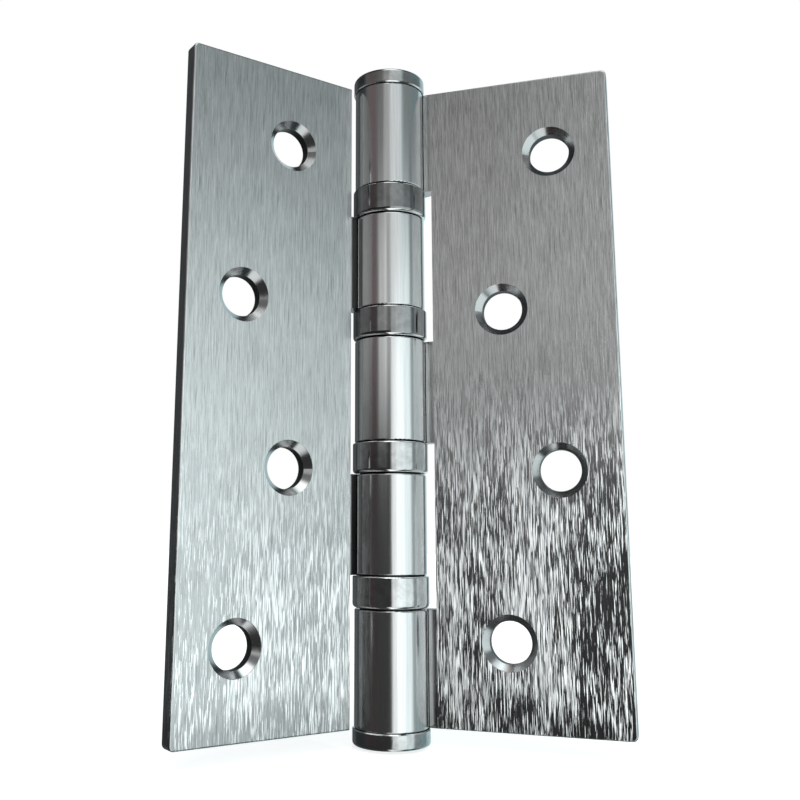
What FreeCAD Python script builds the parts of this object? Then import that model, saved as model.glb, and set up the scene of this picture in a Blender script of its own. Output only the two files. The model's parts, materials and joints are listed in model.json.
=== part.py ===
import FreeCAD, Part
import math
import os
import Sketcher

# Ball bearing butt hinge of pressed steel sheet, 100 mm high and 70 mm wide when laid flat.
# Z runs along the pin, and the origin is on the pin's axis at half the height.
# The frame leaf lies along +X with its countersunk face towards -Y. It carries the first,
# third and fifth knuckles, counted from the top. The door leaf carries the other two.
# Four thrust bearings stand between the knuckles.

# Driving sizes, in millimetres and degrees
SIZES = {
    # The two leaves
    "height": 100.0,
    "open_width": 70.0,
    "sheet_thickness": 2.5,
    "closed_gap": 2.0,
    "open_angle": 128.0,
    "corner_radius": 0.8,
    "edge_rounding": 0.3,
    "knuckle_rounding": 0.22,
    # The rolled knuckles
    "end_knuckle": 17.0,
    "door_knuckle": 15.0,
    "swage_angle": 21.0,
    "bend_radius": 1.0,
    "seam_gap": 0.15,
    "notch_gap": 0.95,
    # The pin and its caps
    "pin_radius": 3.0,
    "pin_clearance": 0.05,
    "cap_height": 2.4,
    "cap_overhang": 0.25,
    "cap_rounding": 0.55,
    "cap_edge": 0.15,
    "stem_length": 4.0,
    "stem_clearance": 0.01,
    "stem_chamfer": 0.4,
    # The screw holes
    "hole_pitch": 25.0,
    "hole_radius": 3.1,
    "countersink_radius": 4.1,
    "near_row": 17.65,
    "far_row": 25.7,
    # The bearings
    "bearing_height": 5.0,
    "cover_wall": 0.5,
    "cover_overhang": 0.3,
    "cover_gap": 0.15,
    "cover_bend": 0.15,
    "cover_edge": 0.2,
    "race_clearance": 0.05,
    "race_bore_clearance": 0.15,
    "seat_step": 0.6,
    "seat_clearance": 0.1,
    "ball_radius": 1.0,
    "ball_clearance": 0.04,
    "groove_depth": 0.4,
    "ball_count": 12,
}

# Sizes that follow from the driving ones, written as the sheet's own arithmetic
BORE_RADIUS = "(sizes.pin_radius + sizes.pin_clearance)"
KNUCKLE_RADIUS = f"({BORE_RADIUS} + sizes.sheet_thickness)"
FRONT_FACE = "(sizes.closed_gap / 2)"
BACK_FACE = f"({FRONT_FACE} + sizes.sheet_thickness)"
CAP_RADIUS = f"({KNUCKLE_RADIUS} + sizes.cap_overhang)"
COVER_RADIUS = f"({KNUCKLE_RADIUS} + sizes.cover_overhang)"
COVER_INSIDE = f"({COVER_RADIUS} - sizes.cover_wall)"
NOTCH_EDGE = f"({COVER_RADIUS} + sizes.notch_gap)"
RACE_RADIUS = f"({COVER_INSIDE} - sizes.race_clearance)"
RACE_BORE = "(sizes.pin_radius + sizes.race_bore_clearance)"
SEAT_RADIUS = f"({RACE_RADIUS} - sizes.seat_step)"
SEAT_HEIGHT = "(sizes.cover_gap + sizes.cover_wall)"
PITCH_RADIUS = f"(({RACE_BORE} + {RACE_RADIUS}) / 2)"
HALF_HEIGHT = "(sizes.height / 2)"
STATION = "(sizes.door_knuckle + 2 * sizes.bearing_height)"
MIDDLE_KNUCKLE_END = f"({HALF_HEIGHT} - sizes.end_knuckle - {STATION})"
DOOR_KNUCKLE_FOOT = f"({MIDDLE_KNUCKLE_END} + sizes.bearing_height)"
DOOR_KNUCKLE_HEAD = f"({DOOR_KNUCKLE_FOOT} + sizes.door_knuckle)"

# How a sketch numbers its own axes, the points of a line or an arc, and its origin
Y_AXIS, X_AXIS = range(-2, 0)
START, END, CENTRE = range(1, 4)
ORIGIN = (X_AXIS, START)

# How near two places have to be to count as the same one, in millimetres
SAME_PLACE = 1e-4


def add_sheet(doc):
    """The spreadsheet that every sketch, feature and placement reads."""
    sheet = doc.addObject("Spreadsheet::Sheet", "sizes")
    for row, (alias, value) in enumerate(SIZES.items(), start=1):
        sheet.set(f"A{row}", alias)
        sheet.set(f"B{row}", str(value))
        sheet.setAlias(f"B{row}", alias)
    doc.recompute()
    return sheet


def number(sketch, expression):
    """What an expression on the sheet is worth, as a plain number."""
    value = sketch.evalExpression(expression)
    return float(getattr(value, "Value", value))


def add_body(doc, name):
    body = doc.addObject("PartDesign::Body", name)
    body.Label = name
    return body


def plane_of(body, role):
    return next(item for item in body.Origin.OriginFeatures if item.Role == role)


def add_sketch(body, name, role):
    """A sketch on one of the body's own origin planes."""
    sketch = body.newObject("Sketcher::SketchObject", name)
    sketch.AttachmentSupport = [(plane_of(body, role), "")]
    sketch.MapMode = "FlatFace"
    return sketch


def tie(sketch, kind, reference, expression):
    """One constraint whose value is bound to the sheet."""
    index = sketch.addConstraint(Sketcher.Constraint(kind, *reference, number(sketch, expression)))
    sketch.setExpression(f"Constraints[{index}]", expression)


def pin_down(sketch, geometry, point, across, up):
    """Ties one point of a sketch to its distances from the sketch's origin."""
    for kind, axis, expression in (("DistanceX", Y_AXIS, across), ("DistanceY", X_AXIS, up)):
        if expression == "0":
            sketch.addConstraint(Sketcher.Constraint("PointOnObject", geometry, point, axis))
        else:
            tie(sketch, kind, (*ORIGIN, geometry, point), expression)


def arc_between(first, last, radius, left):
    """The smaller arc from first to last, curving to the left or to the right."""
    chord = last - first
    side = FreeCAD.Vector(-chord.y, chord.x, 0).normalize()
    rise = math.sqrt(max(radius**2 - (chord.Length / 2) ** 2, 0.0))
    centre = (first + last) * 0.5 + side * (rise if left else -rise)
    begin, finish = (first, last) if left else (last, first)
    begin_angle = math.atan2(begin.y - centre.y, begin.x - centre.x)
    finish_angle = math.atan2(finish.y - centre.y, finish.x - centre.x)
    circle = Part.Circle(centre, FreeCAD.Vector(0, 0, 1), radius)
    return Part.ArcOfCircle(circle, begin_angle, finish_angle)


def draw_outline(sketch, corners):
    """A closed chain of straight runs and arcs.

    Each corner is (across, up), or (across, up, radius, side) where the run that
    leaves it is an arc that turns to that side, "left" or "right".
    """
    places = [FreeCAD.Vector(number(sketch, c[0]), number(sketch, c[1]), 0) for c in corners]
    ends = []
    for index, corner in enumerate(corners):
        first = places[index]
        last = places[(index + 1) % len(places)]
        if len(corner) == 2:
            geometry = sketch.addGeometry(Part.LineSegment(first, last), False)
            ends.append((geometry, START, END))
            continue
        left = corner[3] == "left"
        arc = arc_between(first, last, number(sketch, corner[2]), left)
        geometry = sketch.addGeometry(arc, False)
        ends.append((geometry, START, END) if left else (geometry, END, START))
    for index, (geometry, begin, _) in enumerate(ends):
        before, _, finish = ends[index - 1]
        sketch.addConstraint(Sketcher.Constraint("Coincident", before, finish, geometry, begin))
        pin_down(sketch, geometry, begin, corners[index][0], corners[index][1])
    for (geometry, _, _), corner in zip(ends, corners):
        if len(corner) > 2:
            tie(sketch, "Radius", (geometry,), corner[2])


def turned(body, name, corners):
    """A solid of revolution about Z from a half section given as (radius, height) corners."""
    sketch = add_sketch(body, f"{name}_section", "XZ_Plane")
    draw_outline(sketch, corners)
    turn = body.newObject("PartDesign::Revolution", f"{name}_turn")
    turn.Profile = sketch
    turn.ReferenceAxis = (sketch, ["V_Axis"])
    turn.Angle = 360
    sketch.Visibility = False
    return turn


def draw_swaged_section(sketch):
    """The leaf's section across the pin.

    The sheet comes in along the leaf, bends back by the swage angle, runs straight
    until it touches the knuckle's circle, and wraps right round the pin until its
    trimmed edge all but closes on the front face at the root.
    """
    bore = number(sketch, BORE_RADIUS)
    knuckle = number(sketch, KNUCKLE_RADIUS)
    front = number(sketch, FRONT_FACE)
    back = number(sketch, BACK_FACE)
    reach = number(sketch, "sizes.open_width / 2")
    bend = number(sketch, "sizes.bend_radius")
    seam = number(sketch, "sizes.seam_gap")
    thickness = number(sketch, "sizes.sheet_thickness")
    swage = math.radians(number(sketch, "sizes.swage_angle"))

    away = FreeCAD.Vector(math.sin(swage), math.cos(swage), 0)
    slope_run = (knuckle * away.y - bend * (1 - away.y) - back) / away.x
    bend_start = knuckle * away.x + slope_run * away.y + bend * away.x
    bend_centre = FreeCAD.Vector(bend_start, back + bend, 0)
    touch_outside = away * knuckle
    touch_inside = away * bore
    bend_outside = bend_centre - away * bend
    bend_inside = bend_centre - away * (bend + thickness)
    front_root = FreeCAD.Vector(bend_start, front, 0)
    front_tip = FreeCAD.Vector(reach, front, 0)
    back_tip = FreeCAD.Vector(reach, back, 0)
    back_root = FreeCAD.Vector(bend_start, back, 0)

    seam_foot = math.sqrt(knuckle**2 - front**2)
    front_level = bend_centre.y - math.sqrt((bend + thickness) ** 2 - (bend_start - seam_foot) ** 2)
    lip_level = front_level - seam
    lip_outside = FreeCAD.Vector(math.sqrt(knuckle**2 - lip_level**2), lip_level, 0)
    lip_inside = FreeCAD.Vector(math.sqrt(bore**2 - lip_level**2), lip_level, 0)
    seam_top = FreeCAD.Vector(lip_outside.x, front_level, 0)

    up = FreeCAD.Vector(0, 0, 1)
    touch_angle = math.pi / 2 - swage
    outside_end = 2 * math.pi + math.atan2(lip_outside.y, lip_outside.x)
    inside_end = 2 * math.pi + math.atan2(lip_inside.y, lip_inside.x)
    bend_angle = 1.5 * math.pi - swage
    outside_circle = Part.Circle(FreeCAD.Vector(), up, knuckle)
    inside_circle = Part.Circle(FreeCAD.Vector(), up, bore)
    back_bend_circle = Part.Circle(bend_centre, up, bend)
    front_bend_circle = Part.Circle(bend_centre, up, bend + thickness)

    outside = sketch.addGeometry(Part.ArcOfCircle(outside_circle, touch_angle, outside_end))
    lip = sketch.addGeometry(Part.LineSegment(lip_outside, lip_inside))
    inside = sketch.addGeometry(Part.ArcOfCircle(inside_circle, touch_angle, inside_end))
    front_slope = sketch.addGeometry(Part.LineSegment(touch_inside, bend_inside))
    front_bend = sketch.addGeometry(Part.ArcOfCircle(front_bend_circle, bend_angle, 1.5 * math.pi))
    front_run = sketch.addGeometry(Part.LineSegment(front_root, front_tip))
    tip = sketch.addGeometry(Part.LineSegment(front_tip, back_tip))
    back_run = sketch.addGeometry(Part.LineSegment(back_tip, back_root))
    back_bend = sketch.addGeometry(Part.ArcOfCircle(back_bend_circle, bend_angle, 1.5 * math.pi))
    back_slope = sketch.addGeometry(Part.LineSegment(touch_outside, bend_outside))
    seam_line = sketch.addGeometry(Part.LineSegment(lip_outside, seam_top), True)

    joins = [
        ("Tangent", back_slope, START, outside, START),
        ("Tangent", front_slope, START, inside, START),
        ("Tangent", front_slope, END, front_bend, START),
        ("Tangent", front_bend, END, front_run, START),
        ("Tangent", back_run, END, back_bend, END),
        ("Tangent", back_slope, END, back_bend, START),
        ("Coincident", outside, END, lip, START),
        ("Coincident", lip, END, inside, END),
        ("Coincident", front_run, END, tip, START),
        ("Coincident", tip, END, back_run, START),
        ("Coincident", outside, CENTRE, *ORIGIN),
        ("Coincident", inside, CENTRE, *ORIGIN),
        ("Coincident", front_bend, CENTRE, back_bend, CENTRE),
        ("Coincident", lip, START, seam_line, START),
        ("PointOnObject", seam_line, END, front_bend),
        ("Horizontal", lip),
        ("Horizontal", front_run),
        ("Horizontal", back_run),
        ("Vertical", tip),
        ("Vertical", seam_line),
    ]
    for join in joins:
        sketch.addConstraint(Sketcher.Constraint(*join))
    tie(sketch, "Radius", (outside,), KNUCKLE_RADIUS)
    tie(sketch, "Radius", (inside,), BORE_RADIUS)
    tie(sketch, "Radius", (back_bend,), "sizes.bend_radius")
    tie(sketch, "DistanceY", (*ORIGIN, front_run, START), FRONT_FACE)
    tie(sketch, "DistanceY", (*ORIGIN, back_run, START), BACK_FACE)
    tie(sketch, "DistanceX", (*ORIGIN, tip, START), "sizes.open_width / 2")
    tie(sketch, "DistanceY", (seam_line, START, seam_line, END), "sizes.seam_gap")
    slope = sketch.addConstraint(Sketcher.Constraint("Angle", back_slope, -swage))
    sketch.setExpression(f"Constraints[{slope}]", "-sizes.swage_angle * 1 deg")


def cut_notches(body, name, notches):
    """Clears the leaf and its rolled edge where the other leaf's knuckles and the bearings go."""
    sketch = add_sketch(body, f"{name}_notches", "XZ_Plane")
    beyond = f"(-{KNUCKLE_RADIUS} - sizes.notch_gap)"
    for foot, head in notches:
        corners = [(beyond, foot), (NOTCH_EDGE, foot), (NOTCH_EDGE, head), (beyond, head)]
        draw_outline(sketch, corners)
    pocket = body.newObject("PartDesign::Pocket", f"{name}_notching")
    pocket.Profile = sketch
    pocket.SideType = "Symmetric"
    pocket.Type = "ThroughAll"
    sketch.Visibility = False


def drill_screw_holes(doc, body, name):
    """Four countersunk holes in two rows, staggered up the leaf and sunk into its front face."""
    sketch = add_sketch(body, f"{name}_hole_centres", "XZ_Plane")
    sketch.setExpression(".AttachmentOffset.Base.z", f"-{FRONT_FACE}")
    centres = [
        ("sizes.far_row", "sizes.hole_pitch * 1.5"),
        ("sizes.near_row", "sizes.hole_pitch * 0.5"),
        ("sizes.far_row", "-sizes.hole_pitch * 0.5"),
        ("sizes.near_row", "-sizes.hole_pitch * 1.5"),
    ]
    for across, up in centres:
        place = FreeCAD.Vector(number(sketch, across), number(sketch, up), 0)
        circle = Part.Circle(place, FreeCAD.Vector(0, 0, 1), number(sketch, "sizes.hole_radius"))
        geometry = sketch.addGeometry(circle)
        pin_down(sketch, geometry, CENTRE, across, up)
        tie(sketch, "Radius", (geometry,), "sizes.hole_radius")
    doc.recompute()
    hole = body.newObject("PartDesign::Hole", f"{name}_screw_holes")
    hole.Profile = sketch
    doc.recompute()
    hole.DepthType = "ThroughAll"
    hole.HoleCutType = "Countersink"
    hole.setExpression("Diameter", "sizes.hole_radius * 2")
    hole.setExpression("HoleCutDiameter", "sizes.countersink_radius * 2")
    hole.HoleCutCountersinkAngle = 90
    sketch.Visibility = False


def edges_where(shape, wanted):
    """The names of the edges whose end points and middle all pass the test."""
    names = []
    for index, edge in enumerate(shape.Edges, start=1):
        first, last = edge.ParameterRange
        points = [edge.valueAt(first), edge.valueAt((first + last) / 2), edge.valueAt(last)]
        if all(wanted(point) for point in points):
            names.append(f"Edge{index}")
    return names


def round_corners(doc, body, name):
    """Takes the points off the two free corners of a leaf."""
    doc.recompute()
    base = body.Tip
    reach = number(base, "sizes.open_width / 2")
    half_height = number(base, HALF_HEIGHT)

    def at_corner(point):
        at_tip = abs(point.x - reach) < SAME_PLACE
        return at_tip and abs(abs(point.z) - half_height) < SAME_PLACE

    fillet = body.newObject("PartDesign::Fillet", f"{name}_corners")
    fillet.Base = (base, edges_where(base.Shape, at_corner))
    fillet.setExpression("Radius", "sizes.corner_radius")


def round_outline(doc, body, name):
    """Rounds the front and back edges of a leaf all the way along its free outline."""
    doc.recompute()
    base = body.Tip
    reach = number(base, "sizes.open_width / 2")
    faces = [number(base, FRONT_FACE), number(base, BACK_FACE)]

    def on_free_edge(point):
        at_tip = abs(point.x - reach) < SAME_PLACE
        return at_tip and any(abs(point.y - face) < SAME_PLACE for face in faces)

    fillet = body.newObject("PartDesign::Fillet", f"{name}_outline")
    fillet.Base = (base, edges_where(base.Shape, on_free_edge))
    fillet.setExpression("Radius", "sizes.edge_rounding")


def round_knuckle_edges(doc, body, name, levels):
    """Takes the sharpness off the outside of every knuckle end."""
    doc.recompute()
    base = body.Tip
    knuckle = number(base, KNUCKLE_RADIUS)
    heights = [number(base, level) for level in levels]

    def on_knuckle_end(point):
        on_circle = abs(math.hypot(point.x, point.y) - knuckle) < SAME_PLACE
        return on_circle and any(abs(abs(point.z) - height) < SAME_PLACE for height in heights)

    fillet = body.newObject("PartDesign::Fillet", f"{name}_knuckle_edges")
    fillet.Base = (base, edges_where(base.Shape, on_knuckle_end))
    fillet.setExpression("Radius", "sizes.knuckle_rounding")


def build_leaf(doc, name, notches, knuckle_ends):
    """One leaf with its knuckles, pressed and rolled from a single sheet."""
    body = add_body(doc, name)
    section = add_sketch(body, f"{name}_section", "XY_Plane")
    draw_swaged_section(section)
    pad = body.newObject("PartDesign::Pad", f"{name}_rolled_sheet")
    pad.Profile = section
    pad.SideType = "Symmetric"
    pad.setExpression("Length", "sizes.height")
    section.Visibility = False
    cut_notches(body, name, notches)
    drill_screw_holes(doc, body, name)
    round_corners(doc, body, name)
    round_outline(doc, body, name)
    round_knuckle_edges(doc, body, name, knuckle_ends)
    return body


def build_frame_leaf(doc):
    notches = [
        (MIDDLE_KNUCKLE_END, f"{HALF_HEIGHT} - sizes.end_knuckle"),
        (f"sizes.end_knuckle - {HALF_HEIGHT}", f"-{MIDDLE_KNUCKLE_END}"),
    ]
    ends = [HALF_HEIGHT, f"{HALF_HEIGHT} - sizes.end_knuckle", MIDDLE_KNUCKLE_END]
    return build_leaf(doc, "frame_leaf", notches, ends)


def build_door_leaf(doc):
    """The same sheet turned over, so that the two front faces meet when the door shuts."""
    past_end = f"({HALF_HEIGHT} + sizes.notch_gap)"
    notches = [
        (DOOR_KNUCKLE_HEAD, past_end),
        (f"-{DOOR_KNUCKLE_FOOT}", DOOR_KNUCKLE_FOOT),
        (f"-{past_end}", f"-{DOOR_KNUCKLE_HEAD}"),
    ]
    body = build_leaf(doc, "door_leaf", notches, [DOOR_KNUCKLE_FOOT, DOOR_KNUCKLE_HEAD])
    turned_over = FreeCAD.Rotation(FreeCAD.Vector(1, 0, 0), 180)
    swung_open = FreeCAD.Rotation(FreeCAD.Vector(0, 0, 1), -number(body, "sizes.open_angle"))
    body.Placement = FreeCAD.Placement(FreeCAD.Vector(), swung_open * turned_over)
    return body


def build_pin(doc):
    """The plain pin, which runs from the stem of one cap to the stem of the other."""
    body = add_body(doc, "hinge_pin")
    end = f"({HALF_HEIGHT} - sizes.stem_length)"
    rim = "(sizes.pin_radius - sizes.stem_chamfer)"
    shoulder = f"({end} - sizes.stem_chamfer)"
    corners = [
        ("0", f"-{end}"),
        (rim, f"-{end}"),
        ("sizes.pin_radius", f"-{shoulder}"),
        ("sizes.pin_radius", shoulder),
        (rim, end),
        ("0", end),
    ]
    turned(body, "hinge_pin", corners)
    return body


def build_cap(doc, name, upside_down):
    """A turned end cap: a disc with a rounded rim, and a stem pressed into the end knuckle."""
    body = add_body(doc, name)
    stem = f"({BORE_RADIUS} - sizes.stem_clearance)"
    corners = [
        ("0", "-sizes.stem_length"),
        (f"{stem} - sizes.stem_chamfer", "-sizes.stem_length"),
        (stem, "sizes.stem_chamfer - sizes.stem_length"),
        (stem, "0"),
        (f"{CAP_RADIUS} - sizes.cap_edge", "0"),
        (CAP_RADIUS, "sizes.cap_edge"),
        (CAP_RADIUS, "sizes.cap_height - sizes.cap_rounding", "sizes.cap_rounding", "left"),
        (f"{CAP_RADIUS} - sizes.cap_rounding", "sizes.cap_height"),
        ("0", "sizes.cap_height"),
    ]
    turned(body, name, corners)
    flip = FreeCAD.Rotation(FreeCAD.Vector(1, 0, 0), 180 if upside_down else 0)
    body.Placement = FreeCAD.Placement(FreeCAD.Vector(), flip)
    sign = "-" if upside_down else ""
    body.setExpression(".Placement.Base.z", f"{sign}{HALF_HEIGHT}")
    return body


def build_cover(doc, name):
    """The drawn cup round a bearing: a thin wall with an inward lip at its foot."""
    body = add_body(doc, name)
    foot = "(sizes.cover_gap - sizes.bearing_height / 2)"
    floor = f"({foot} + sizes.cover_wall)"
    rim = "(sizes.bearing_height / 2 - sizes.cover_gap)"
    lip = f"({SEAT_RADIUS} + sizes.seat_clearance)"
    bend = "(sizes.cover_wall + sizes.cover_bend)"
    corners = [
        (lip, foot),
        (f"{COVER_RADIUS} - {bend}", foot, bend, "left"),
        (COVER_RADIUS, f"{foot} + {bend}"),
        (COVER_RADIUS, f"{rim} - sizes.cover_edge", "sizes.cover_edge", "left"),
        (f"{COVER_RADIUS} - sizes.cover_edge", rim),
        (COVER_INSIDE, rim),
        (COVER_INSIDE, f"{floor} + sizes.cover_bend", "sizes.cover_bend", "right"),
        (f"{COVER_INSIDE} - sizes.cover_bend", floor),
        (lip, floor),
    ]
    turned(body, name, corners)
    return body


def build_race(doc, name, upper):
    """A race ring with a ball groove in one face and a seat that stands on a knuckle's end."""
    body = add_body(doc, name)
    face = "(sizes.groove_depth - sizes.ball_radius)"
    groove = "(sizes.ball_radius + sizes.ball_clearance)"
    half_width = f"sqrt({groove} * {groove} - {face} * {face})"
    seat_foot = "(-sizes.bearing_height / 2)"
    seat_head = f"({seat_foot} + {SEAT_HEIGHT})"
    chamfer = "(sizes.cover_bend + sizes.race_clearance)"
    corners = [
        (RACE_BORE, seat_foot),
        (SEAT_RADIUS, seat_foot),
        (SEAT_RADIUS, seat_head),
        (f"{RACE_RADIUS} - {chamfer}", seat_head),
        (RACE_RADIUS, f"{seat_head} + {chamfer}"),
        (RACE_RADIUS, face),
        (f"{PITCH_RADIUS} + {half_width}", face, groove, "right"),
        (f"{PITCH_RADIUS} - {half_width}", face),
        (RACE_BORE, face),
    ]
    turned(body, name, corners)
    flip = FreeCAD.Rotation(FreeCAD.Vector(1, 0, 0), 180 if upper else 0)
    body.Placement = FreeCAD.Placement(FreeCAD.Vector(), flip)
    return body


def build_balls(doc, name):
    """The ring of loose balls between two races."""
    body = add_body(doc, name)
    ball = body.newObject("PartDesign::AdditiveSphere", f"{name}_ball")
    ball.AttachmentSupport = [(plane_of(body, "XY_Plane"), "")]
    ball.MapMode = "FlatFace"
    ball.setExpression("Radius", "sizes.ball_radius")
    ball.setExpression(".AttachmentOffset.Base.x", PITCH_RADIUS)
    doc.recompute()
    ring = body.newObject("PartDesign::PolarPattern", f"{name}_ring")
    ring.Originals = [ball]
    ring.Axis = (plane_of(body, "Z_Axis"), [""])
    ring.Angle = 360
    ring.setExpression("Occurrences", "sizes.ball_count")
    body.Tip = ring
    return body


def build_bearing(doc, name, height):
    """One thrust bearing, centred at a height on the pin: cover, two races and their balls."""
    pieces = [
        build_cover(doc, f"{name}_cover"),
        build_race(doc, f"{name}_upper_race", True),
        build_race(doc, f"{name}_lower_race", False),
        build_balls(doc, f"{name}_balls"),
    ]
    for piece in pieces:
        piece.setExpression(".Placement.Base.z", height)
    return pieces


def build_bearings(doc):
    """Bearings one to four, from the top: each door knuckle has one above and one below."""
    upper = f"({DOOR_KNUCKLE_HEAD} + sizes.bearing_height / 2)"
    lower = f"({DOOR_KNUCKLE_FOOT} - sizes.bearing_height / 2)"
    heights = [upper, lower, f"-{lower}", f"-{upper}"]
    pieces = []
    for count, height in enumerate(heights, start=1):
        pieces += build_bearing(doc, f"bearing_{count}", height)
    return pieces


def check_document(doc, pieces):
    """Stops with the names of whatever failed to build."""
    failed = [item.Name for item in doc.Objects if {"Invalid", "Error"} & set(item.State)]
    failed += [piece.Label for piece in pieces if piece.Shape.isNull() or not piece.Shape.isValid()]
    if failed:
        raise RuntimeError("these did not build: " + ", ".join(failed))


def build_hinge():
    doc = FreeCAD.newDocument("ball_bearing_hinge")
    add_sheet(doc)
    pieces = [build_frame_leaf(doc), build_door_leaf(doc), build_pin(doc)]
    pieces += [build_cap(doc, "top_cap", False), build_cap(doc, "bottom_cap", True)]
    pieces += build_bearings(doc)
    doc.recompute()
    check_document(doc, pieces)
    os.makedirs("parts", exist_ok=True)
    for piece in pieces:
        piece.Shape.exportStep(f"parts/{piece.Label}.step")


build_hinge()
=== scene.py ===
"""A ball bearing butt hinge in satin steel, standing open on a pale floor.

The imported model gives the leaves, the pin, the caps and the bearings. This script
dresses them, sets up the light of the photograph and places its camera.
"""

import json
import logging
import math
from dataclasses import dataclass, field, replace
from enum import Enum
from typing import Sequence, Union

import bpy
from mathutils import Matrix, Vector

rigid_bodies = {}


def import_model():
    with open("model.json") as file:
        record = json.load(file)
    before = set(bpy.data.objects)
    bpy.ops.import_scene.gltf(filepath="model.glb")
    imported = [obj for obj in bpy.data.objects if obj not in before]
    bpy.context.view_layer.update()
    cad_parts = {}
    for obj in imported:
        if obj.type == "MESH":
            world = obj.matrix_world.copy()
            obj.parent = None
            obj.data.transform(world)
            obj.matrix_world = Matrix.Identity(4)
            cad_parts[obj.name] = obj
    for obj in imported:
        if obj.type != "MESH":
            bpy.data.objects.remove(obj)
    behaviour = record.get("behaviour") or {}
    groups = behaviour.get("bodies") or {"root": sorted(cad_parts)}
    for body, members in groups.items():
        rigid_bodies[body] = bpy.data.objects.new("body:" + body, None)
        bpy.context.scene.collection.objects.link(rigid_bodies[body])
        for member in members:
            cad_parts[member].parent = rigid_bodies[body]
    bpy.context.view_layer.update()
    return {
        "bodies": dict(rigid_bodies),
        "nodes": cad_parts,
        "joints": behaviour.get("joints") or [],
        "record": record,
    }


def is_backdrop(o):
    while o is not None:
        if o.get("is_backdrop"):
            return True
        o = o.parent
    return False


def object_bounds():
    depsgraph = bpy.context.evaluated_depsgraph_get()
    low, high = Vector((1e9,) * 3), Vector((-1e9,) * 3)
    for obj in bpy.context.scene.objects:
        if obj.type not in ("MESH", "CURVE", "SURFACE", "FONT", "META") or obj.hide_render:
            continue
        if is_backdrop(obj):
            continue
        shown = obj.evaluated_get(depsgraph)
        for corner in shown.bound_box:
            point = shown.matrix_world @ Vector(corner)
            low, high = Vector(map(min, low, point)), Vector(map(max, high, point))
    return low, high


log = logging.getLogger("hinge")

MILLIMETRE = 0.001

Colour = tuple[float, float, float, float]
Number = Union[float, "Value"]
Span = tuple[float, float]


class Side(Enum):
    """The two leaves, by what they are screwed to."""

    FRAME = "frame_leaf"
    DOOR = "door_leaf"


class Value:
    """A number that changes over a surface, with the arithmetic of a plain number."""

    def __init__(self, sheet: "ShaderSheet", socket: bpy.types.NodeSocket) -> None:
        """Wraps one output socket.

        Args:
            sheet: The node tree that the socket belongs to.
            socket: The output that carries the number.
        """
        self.sheet = sheet
        self.socket = socket

    def _with(self, operation: str, *values: Number) -> "Value":
        """The result of a Math node on these values."""
        return self.sheet.maths(operation, *values)

    def __add__(self, other: Number) -> "Value":
        """Sum."""
        return self._with("ADD", self, other)

    def __radd__(self, other: Number) -> "Value":
        """Sum, with the plain number first."""
        return self._with("ADD", other, self)

    def __sub__(self, other: Number) -> "Value":
        """Difference."""
        return self._with("SUBTRACT", self, other)

    def __rsub__(self, other: Number) -> "Value":
        """Difference, with the plain number first."""
        return self._with("SUBTRACT", other, self)

    def __mul__(self, other: Number) -> "Value":
        """Product."""
        return self._with("MULTIPLY", self, other)

    def __rmul__(self, other: Number) -> "Value":
        """Product, with the plain number first."""
        return self._with("MULTIPLY", other, self)

    def __neg__(self) -> "Value":
        """The number with its sign changed."""
        return self._with("MULTIPLY", self, -1.0)

    def least(self, other: Number) -> "Value":
        """The smaller of two numbers."""
        return self._with("MINIMUM", self, other)

    def most(self, other: Number) -> "Value":
        """The larger of two numbers."""
        return self._with("MAXIMUM", self, other)

    def rise(self, low: float, high: float) -> "Value":
        """A soft step from 0 at low to 1 at high.

        Args:
            low: Where the step starts.
            high: Where the step ends.

        Returns:
            The step's height.
        """
        settings = {"interpolation_type": "SMOOTHSTEP"}
        inputs = {"Value": self, "From Min": low, "From Max": high, "To Min": 0.0, "To Max": 1.0}
        return Value(self.sheet, self.sheet.node("ShaderNodeMapRange", settings, inputs).outputs[0])

    def between(self, low: float, high: float, softness: float) -> "Value":
        """1 inside a range and 0 outside it.

        Args:
            low: Lower edge of the range.
            high: Upper edge of the range.
            softness: Width over which each edge fades.

        Returns:
            The mask.
        """
        start = self.rise(low - softness / 2, low + softness / 2)
        end = self.rise(high - softness / 2, high + softness / 2)
        return start * (1.0 - end)


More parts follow.
